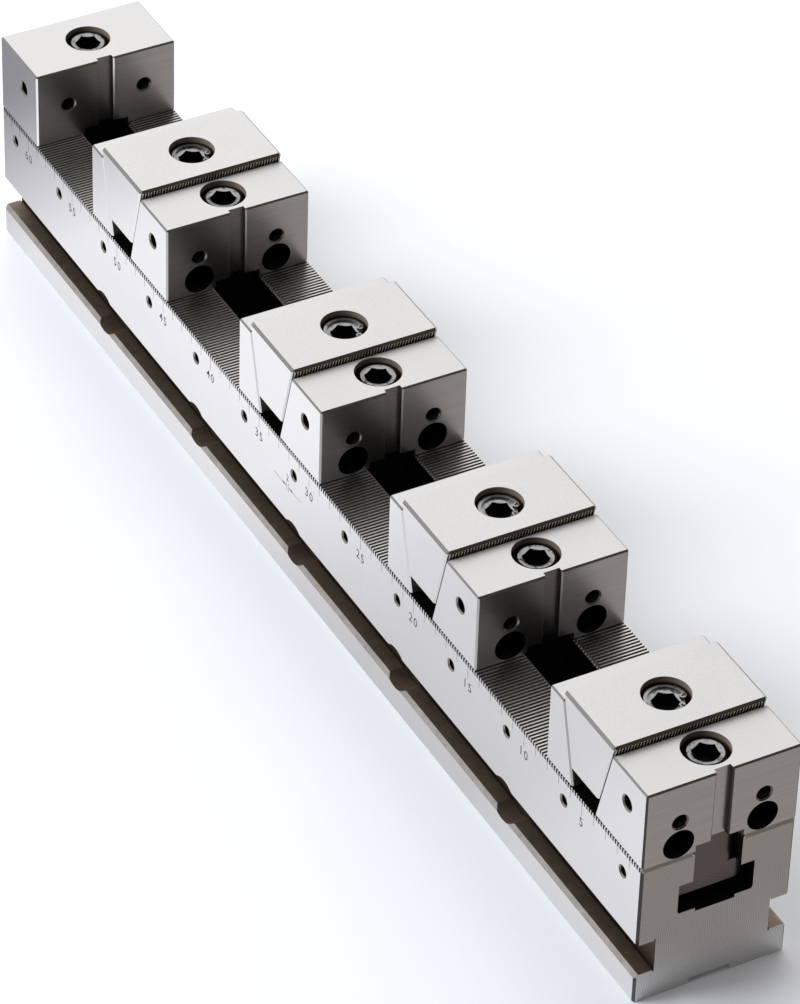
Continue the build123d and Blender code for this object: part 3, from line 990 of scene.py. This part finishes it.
class VISE_OT_wedges(bpy.types.Operator):
    """Cut the ribs into the front of each wedge"""

    bl_idname = "vise.wedges"
    bl_label = "Ribbed wedges"

    overrun = 4 * MM

    def grooves(self, wedge, sizes):
        """Bars that cut the grooves down a wedge's sloping front, as a bmesh."""
        wedge.normal_update()
        fronts = [face for face in wedge.faces if face.normal.x > 0.9]
        front = max(fronts, key=lambda face: face.calc_area())
        normal = front.normal.copy()
        across = Vector((0, 1, 0))
        upward = across.cross(normal).normalized()
        if upward.z < 0:
            upward.negate()
        corners = sorted(front.verts, key=lambda corner: corner.co.z)
        low, high = corners[0].co.copy(), corners[-1].co.copy()
        length = (high - low).dot(upward) + self.overrun
        middle = high - upward * (sizes.groove_stop + length / 2)
        turn = Matrix((normal, across, upward)).transposed().to_4x4()
        size = Matrix.Diagonal((2 * sizes.groove_depth, sizes.groove_width, length, 1))
        lowest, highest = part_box(f"wedge_{FIRST}")
        count = int((highest.y - lowest.y) / sizes.rib_pitch)
        bars = bmesh.new()
        for index in range(count):
            y = (index - (count - 1) / 2) * sizes.rib_pitch
            spot = Matrix.Translation((middle.x, y, middle.z))
            bmesh.ops.create_cube(bars, size=1.0, matrix=spot @ turn @ size)
        return bars

    def execute(self, context):
        first = f"wedge_{FIRST}"
        wedge = merged_copy(first)
        mesh = new_mesh("ribbed", cut(wedge, self.grooves(wedge, context.scene.vise_wedges)))
        for number in UNITS:
            node = f"wedge_{number}"
            bm = bmesh.new()
            bm.from_mesh(mesh)
            move(bm, middle_of(node) - middle_of(first))
            piece = add_piece(f"ribbed_wedge_{number}", bm, node, "wedge_steel", "wedge_finish", crease=0)
            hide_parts(node)
        bpy.data.meshes.remove(mesh)
        return {"FINISHED"}


def socket_screw(head_radius, head_height, shank_radius, shank_length, sizes):
    """Socket head screw with its seat at the origin. Its top is of material 1 and its socket's rim of 2."""
    chamfer = sizes.head_chamfer
    tip = 0.8 * MM
    rim_in, rim_out, rim_depth = 1.1 * MM, 1.3 * MM, 1.5 * MM
    bm = turned([
        (0, head_height),
        (head_radius - chamfer, head_height),
        (head_radius, head_height - chamfer),
        (head_radius, 0),
        (shank_radius, 0),
        (shank_radius, tip - shank_length),
        (shank_radius - tip, -shank_length),
        (0, -shank_length),
    ])
    top = Matrix.Translation((0, 0, head_height))
    key_radius = sizes.key_share * head_radius / math.cos(math.radians(30))
    depth = sizes.key_depth_share * head_radius
    key = bmesh.new()
    bmesh.ops.create_cone(key, cap_ends=True, segments=6, radius1=key_radius, radius2=key_radius,
                          depth=2 * depth, matrix=top @ Matrix.Rotation(sizes.key_turn, 4, "Z"))
    lead_in = bmesh.new()
    bmesh.ops.create_cone(lead_in, cap_ends=True, segments=48, radius1=key_radius - rim_in,
                          radius2=key_radius + rim_out, depth=rim_depth, matrix=top)
    bm = cut(cut(bm, key), lead_in)
    for face in bm.faces:
        middle = face.calc_center_median()
        in_rim = middle.xy.length < key_radius + rim_out + 0.1 * MM and middle.z > depth
        if face.normal.z > 0.99 and middle.z > head_height - 0.01 * MM:
            face.material_index = 1
        elif 0.2 < face.normal.z < 0.9 and in_rim:
            face.material_index = 2
    return bm


class VISE_OT_screws(bpy.types.Operator):
    """Add the socket head screws of blocks and wedges"""

    bl_idname = "vise.screws"
    bl_label = "Socket head screws"

    finishes = ("screw_finish", "screw_top_finish", "socket_rim_finish")
    turn_by_place = -0.4

    def execute(self, context):
        sizes = context.scene.vise_screws
        low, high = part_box(f"wedge_screw_{FIRST}")
        head_radius = (high.x - low.x) / 2
        shank_length = high.z - low.z - CAP_HEAD_HEIGHT
        for number in UNITS:
            node = f"wedge_screw_{number}"
            middle = middle_of(node)
            head_height = CAP_HEAD_HEIGHT + sizes.head_rise
            bm = socket_screw(head_radius, head_height, CAP_SHANK_RADIUS, shank_length, sizes)
            move(bm, (middle.x, middle.y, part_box(node)[1].z - CAP_HEAD_HEIGHT))
            piece = add_piece(f"wedge_cap_screw_{number}", bm, node, "screw_steel", *self.finishes)
            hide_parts(node)
        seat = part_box("block_screws")[1].z - CAP_HEAD_HEIGHT
        screws = bmesh.new()
        for x in block_screw_places():
            bm = socket_screw(head_radius, CAP_HEAD_HEIGHT, CAP_SHANK_RADIUS, shank_length, sizes)
            turn = Matrix.Rotation(self.turn_by_place * x, 3, "Z")
            bmesh.ops.rotate(bm, verts=bm.verts, cent=(0, 0, 0), matrix=turn)
            move(bm, (x, 0, seat))
            add_bm(screws, bm)
        piece = add_piece("block_cap_screws", screws, "base", "screw_steel", *self.finishes)
        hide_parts("block_screws")
        return {"FINISHED"}


class VISE_OT_rings(bpy.types.Operator):
    """Add the retaining ring over each wedge screw"""

    bl_idname = "vise.rings"
    bl_label = "Retaining rings"

    lug_hole_radius = 0.6 * MM
    lug_inset = 0.3 * MM
    lug_lean = math.radians(3)

    def execute(self, context):
        sizes = context.scene.vise_screws
        outer = sizes.ring_radius
        inner = outer - sizes.ring_width
        thick = sizes.ring_thickness
        reach = inner - self.lug_inset
        half_gap = sizes.ring_gap / 2
        hole, edge = self.lug_hole_radius, sizes.lug_radius
        for number in UNITS:
            ring = swept([(inner, 0), (outer, 0), (outer, thick), (inner, thick)],
                         2 * math.pi - sizes.ring_gap, 56, start=sizes.ring_turn + half_gap)
            for side in (-1, 1):
                angle = sizes.ring_turn + side * (half_gap + self.lug_lean)
                lug = turned([(hole, 0), (edge, 0), (edge, thick), (hole, thick)], steps=20)
                move(lug, (reach * math.cos(angle), reach * math.sin(angle), 0))
                add_bm(ring, lug)
            screw = f"wedge_screw_{number}"
            middle = middle_of(screw)
            move(ring, (middle.x, middle.y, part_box(screw)[1].z + sizes.head_rise))
            add_piece(f"retaining_ring_{number}", ring, f"wedge_{number}", "screw_steel", "ring_finish")
        return {"FINISHED"}


class VISE_OT_pull_parts(bpy.types.Operator):
    """Add the pull bolts with their sockets and the coiled pull springs"""

    bl_idname = "vise.pull_parts"
    bl_label = "Pull bolts and springs"

    steps_per_turn = 24

    def bolt(self, low, high, sizes):
        """Pull bolt whose seat is at the origin."""
        head_radius = (high.z - low.z) / 2
        shank_length = high.x - low.x - PULL_HEAD_HEIGHT
        bolt = socket_screw(head_radius, PULL_HEAD_HEIGHT, PULL_SHANK_RADIUS, shank_length, sizes)
        for face in bolt.faces:
            face.material_index = 0
        return bolt

    def coil(self, low, high, sizes):
        """Coiled spring from the origin up, as long as the box of its solid."""
        radius = (high.z - low.z) / 2 - sizes.wire / 2
        rise = (high.x - low.x - sizes.wire) / sizes.spring_turns
        coil = bmesh.new()
        ring = bmesh.ops.create_circle(coil, cap_ends=True, segments=8, radius=sizes.wire / 2)["verts"]
        bmesh.ops.rotate(coil, verts=ring, cent=(0, 0, 0), matrix=Matrix.Rotation(math.pi / 2, 3, "X"))
        bmesh.ops.translate(coil, verts=ring, vec=(radius, 0, sizes.wire / 2))
        spin(coil, [*coil.faces, *coil.edges, *coil.verts], 2 * math.pi * sizes.spring_turns,
             self.steps_per_turn * sizes.spring_turns, rise / self.steps_per_turn)
        bmesh.ops.recalc_face_normals(coil, faces=coil.faces)
        return coil

    def execute(self, context):
        sizes = context.scene.vise_screws
        for number in UNITS:
            low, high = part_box(f"pull_bolts_{number}")
            spring_low, spring_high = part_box(f"pull_springs_{number}")
            head_radius = (high.z - low.z) / 2
            middle_z = (low.z + high.z) / 2
            bolts = bmesh.new()
            springs = bmesh.new()
            for y in (low.y + head_radius, high.y - head_radius):
                bolt = self.bolt(low, high, sizes)
                put(bolt, place_along((high.x - PULL_HEAD_HEIGHT, y, middle_z), (1, 0, 0)))
                add_bm(bolts, bolt)
                coil = self.coil(spring_low, spring_high, sizes)
                put(coil, place_along((spring_low.x, y, middle_z), (1, 0, 0)))
                add_bm(springs, coil)
            jaw = f"movable_jaw_{number}"
            piece = add_piece(f"pull_cap_bolts_{number}", bolts, jaw, "bolt_steel", "bolt_finish")
            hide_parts(f"pull_bolts_{number}")
            piece = add_piece(f"pull_coils_{number}", springs, "base", "spring_steel", "spring_finish")
            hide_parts(f"pull_springs_{number}")
            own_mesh(piece)
        return {"FINISHED"}


class VISE_OT_threads(bpy.types.Operator):
    """Add the thread turns that show in the tapped holes"""

    bl_idname = "vise.threads"
    bl_label = "Threads in tapped holes"

    steps_per_turn = 20
    root_overlap = 0.02 * MM
    mouth_gap = 0.4 * MM

    def thread(self, radius, sizes):
        """Thread turns that stand out of a hole's wall, from the origin up."""
        root = radius + self.root_overlap
        ridge = [(root, 0), (radius - sizes.depth, sizes.pitch / 2), (root, sizes.pitch)]
        return swept(ridge, 2 * math.pi * sizes.turns, self.steps_per_turn * sizes.turns,
                     rise=sizes.pitch / self.steps_per_turn)

    def execute(self, context):
        sizes = context.scene.vise_threads
        holes = {"base": bmesh.new()}
        for mount in MOUNTS:
            dims = mount["dims"]
            radius = dims.get("r_mm", dims.get("hole_r_mm", 0)) * MM
            if not radius:
                continue
            name = mount["name"]
            body = name.rsplit("_", 1)[0] if name.startswith("movable_jaw") else "base"
            axis = Vector(mount["axis"])
            places = [Vector(mount["pos_m"])]
            if mount["kind"] == "bolt_pattern":
                half = Vector((abs(axis.y), abs(axis.x), 0)) * dims["spacing_x_mm"] * MM / 2
                places = [places[0] - half, places[0] + half]
            for mouth in places:
                turns = self.thread(radius, sizes)
                start = mouth - axis * (sizes.pitch * (sizes.turns + 1) + self.mouth_gap)
                put(turns, place_along(start, axis))
                add_bm(holes.setdefault(body, bmesh.new()), turns)
        for body, bm in holes.items():
            slot = "rail_steel" if body == "base" else "jaw_steel"
            add_piece(f"{body}_hole_threads", bm, body, slot, "thread_finish", crease=math.radians(20))
        return {"FINISHED"}


class VISE_OT_studio(bpy.types.Operator):
    """Set up the camera, the pale floor and the soft lights"""

    bl_idname = "vise.studio"
    bl_label = "Studio"

    card_grey = (0.37, 0.345, 0.33)
    pale = (1.11, 1.13, 1.18)
    mid = (0.79, 0.80, 0.84)

    def camera(self, sizes):
        away = Vector((
            math.cos(sizes.elevation) * math.cos(sizes.azimuth),
            math.cos(sizes.elevation) * math.sin(sizes.azimuth),
            math.sin(sizes.elevation),
        ))
        level = Vector((0, 0, 1)).cross(away).normalized()
        upright = away.cross(level)
        right = level * math.cos(sizes.roll) + upright * math.sin(sizes.roll)
        up = away.cross(right)
        data = bpy.data.cameras.new("camera")
        data.lens = sizes.lens
        data.sensor_fit = "AUTO"
        data.clip_end = 20.0
        camera = new_object("camera", data)
        turn = Matrix((right, up, away)).transposed().to_4x4()
        camera.matrix_world = Matrix.Translation(Vector(sizes.target) + away * sizes.distance) @ turn
        bpy.context.scene.camera = camera

    def plate(self, name, middle, size, colour):
        """Matt sheet of the floor, and the shader of its material."""
        material = bpy.data.materials.new(name)
        material.use_nodes = True
        shader = material.node_tree.nodes["Principled BSDF"]
        shader.inputs["Base Color"].default_value = (*colour, 1)
        shader.inputs["Roughness"].default_value = 0.9
        shader.inputs["Specular IOR Level"].default_value = 0.0
        bm = bmesh.new()
        bmesh.ops.create_grid(bm, x_segments=1, y_segments=1, size=0.5)
        put(bm, Matrix.Translation(middle) @ Matrix.Diagonal((*size, 1, 1)))
        mesh = new_mesh(name, bm)
        mesh.materials.append(material)
        made = new_object(name, mesh)
        return made, shader

    def reflected_card(self, name, middle, size, steps):
        """Card on the floor that only reflections see. It is grey, or fades along X through its steps."""
        card, shader = self.plate(name, middle, size, (0, 0, 0))
        glow = shader.inputs["Emission Color"]
        shader.inputs["Emission Strength"].default_value = 1.0
        glow.default_value = (*self.card_grey, 1)
        if steps:
            tree = shader.id_data
            x, y, _ = surface(tree)[0].split()
            colour = steps[0][1]
            for (low, _), (high, bright) in zip(steps, steps[1:]):
                colour = mix_colours(x.ramp(low, high), colour, bright)
            tree.links.new(scaled(colour, y.ramp(-0.10, -0.035, 1.0, 0.83)).socket, glow)
        for flag in ("visible_camera", "visible_diffuse", "visible_shadow", "visible_transmission"):
            setattr(card, flag, False)

    def floor(self):
        """Pale floor, and cards just over it whose reflections shade the steel."""
        floor, _ = self.plate("floor", (0, 0, -0.2 * MM), (14, 14), (0.89, 0.915, 0.965))
        floor.visible_shadow = False
        far_steps = ((-0.42, (0.31, 0.31, 0.35)), (-0.29, self.pale))
        side_steps = (
            (-0.08, self.pale), (0.0, (0.88, 0.89, 0.94)), (0.06, self.mid), (0.16, self.mid),
            (0.22, (0.93, 0.95, 1.0)),
        )
        for name, x, y, size, steps in (
            ("near_card", 0.93, 0.15, (1.2, 1.6), ()),
            ("right_card", -0.1, 0.50, (0.86, 0.90), ()),
            ("far_card", -0.75, -0.35, (0.98, 0.80), far_steps),
            ("side_card", 0.02, -0.35, (0.56, 0.80), side_steps),
        ):
            self.reflected_card(name, (x, y, 0.4 * MM), size, steps)

    def sky(self, scene, strength):
        """Soft light from above and behind, fading to a dark room in front."""
        world = bpy.data.worlds.new("studio")
        scene.world = world
        world.use_nodes = True
        tree = world.node_tree
        tree.nodes.clear()
        direction = node_field(tree, "ShaderNodeTexCoord", output="Generated")
        towards = {0: direction, 1: (-0.87, -0.05, 0.48)}
        lit = node_field(tree, "ShaderNodeVectorMath", {"operation": "DOT_PRODUCT"}, towards, "Value")
        share = lit.ramp(-0.28, 0.62, kind="SMOOTHSTEP")
        colour = mix_colours(share, (0.030, 0.024, 0.021), (1.0, 0.99, 0.97))
        background = node_field(tree, "ShaderNodeBackground", None, {"Color": colour, "Strength": strength})
        add_node(tree, "ShaderNodeOutputWorld", None, {0: background})

    def lamps(self, sizes):
        """Square key and fill lights that reflections don't show."""
        for name, power, colour, spot in (
            ("key", sizes.key, (1.0, 0.97, 0.93), (-1.36, 0.76, 1.26)),
            ("fill", sizes.fill, (0.90, 0.95, 1.0), (-0.9, -2.0, 1.9)),
        ):
            light = bpy.data.lights.new(name, "AREA")
            light.shape = "SQUARE"
            light.size = 1.6
            light.energy = power
            light.color = colour
            lamp = new_object(name, light)
            lamp.matrix_world = place_along(spot, spot)
            lamp.visible_glossy = False

    def execute(self, context):
        sizes = context.scene.vise_studio
        self.camera(sizes)
        self.floor()
        self.sky(context.scene, sizes.sky)
        self.lamps(sizes)
        view = context.scene.view_settings
        view.view_transform = "Standard"
        view.look = "None"
        view.exposure = 0.0
        view.gamma = 1.0
        return {"FINISHED"}


class VISE_PT_panel(bpy.types.Panel):
    """Steps that dress the vise"""

    bl_idname = "VISE_PT_panel"
    bl_label = "Multiple clamping vise"
    bl_space_type = "VIEW_3D"
    bl_region_type = "UI"
    bl_category = "Vise"

    def draw(self, context):
        for operator in OPERATORS:
            self.layout.operator(operator.bl_idname)
        for name in GROUPS:
            box = self.layout.box()
            group = getattr(context.scene, name)
            for key in group.__annotations__:
                box.prop(group, key)


GROUPS = {
    "vise_scale": ScaleSizes, "vise_wedges": WedgeSizes, "vise_screws": ScrewSizes,
    "vise_threads": ThreadSizes, "vise_colours": SteelColours, "vise_studio": StudioSizes,
}
OPERATORS = (
    VISE_OT_finishes, VISE_OT_scale, VISE_OT_wedges, VISE_OT_screws, VISE_OT_rings, VISE_OT_pull_parts,
    VISE_OT_threads, VISE_OT_studio,
)


def register():
    for group in GROUPS.values():
        bpy.utils.register_class(group)
    for name, group in GROUPS.items():
        setattr(bpy.types.Scene, name, bpy.props.PointerProperty(type=group))
    for operator in OPERATORS:
        bpy.utils.register_class(operator)
    bpy.utils.register_class(VISE_PT_panel)


def unregister():
    bpy.utils.unregister_class(VISE_PT_panel)
    for operator in reversed(OPERATORS):
        bpy.utils.unregister_class(operator)
    for name, group in GROUPS.items():
        delattr(bpy.types.Scene, name)
        bpy.utils.unregister_class(group)


def main():
    register()
    for operator in OPERATORS:
        group, step = operator.bl_idname.split(".")
        getattr(getattr(bpy.ops, group), step)()


if __name__ == "__main__":
    main()
